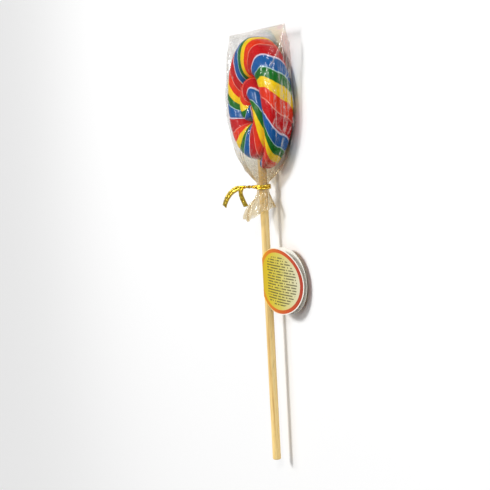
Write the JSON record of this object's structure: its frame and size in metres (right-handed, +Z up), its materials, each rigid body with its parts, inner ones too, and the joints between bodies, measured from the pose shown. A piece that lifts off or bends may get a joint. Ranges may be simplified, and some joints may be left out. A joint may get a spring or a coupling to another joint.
{
  "type": "swirl lollipop",
  "caption": "Rainbow swirl lollipop: a flat coil of striped hard candy on a wooden stick, in a clear gathered bag with a gold wire tie and a folded paper tag, lying face up.",
  "frame": {"origin": "centre of the bag's flat underside, on the surface it lies on, below the middle of the candy disc", "axes": "+Z up, out of the candy's face; -Y along the stick away from the candy"},
  "size_m": [0.0994, 0.2578, 0.0269],
  "materials": {
    "candy": "glossy hard sugar with rainbow stripes",
    "wood": "plain sanded birch",
    "film": "thin clear crinkled film",
    "gold": "bright gold foil ribbon",
    "paper": "coated paper printed yellow, cream and orange"
  },
  "bodies": {
    "root": {"candy": "candy", "stick": "wood", "film": "film", "tie": "gold", "tag": "paper"}
  },
  "joints": []
}
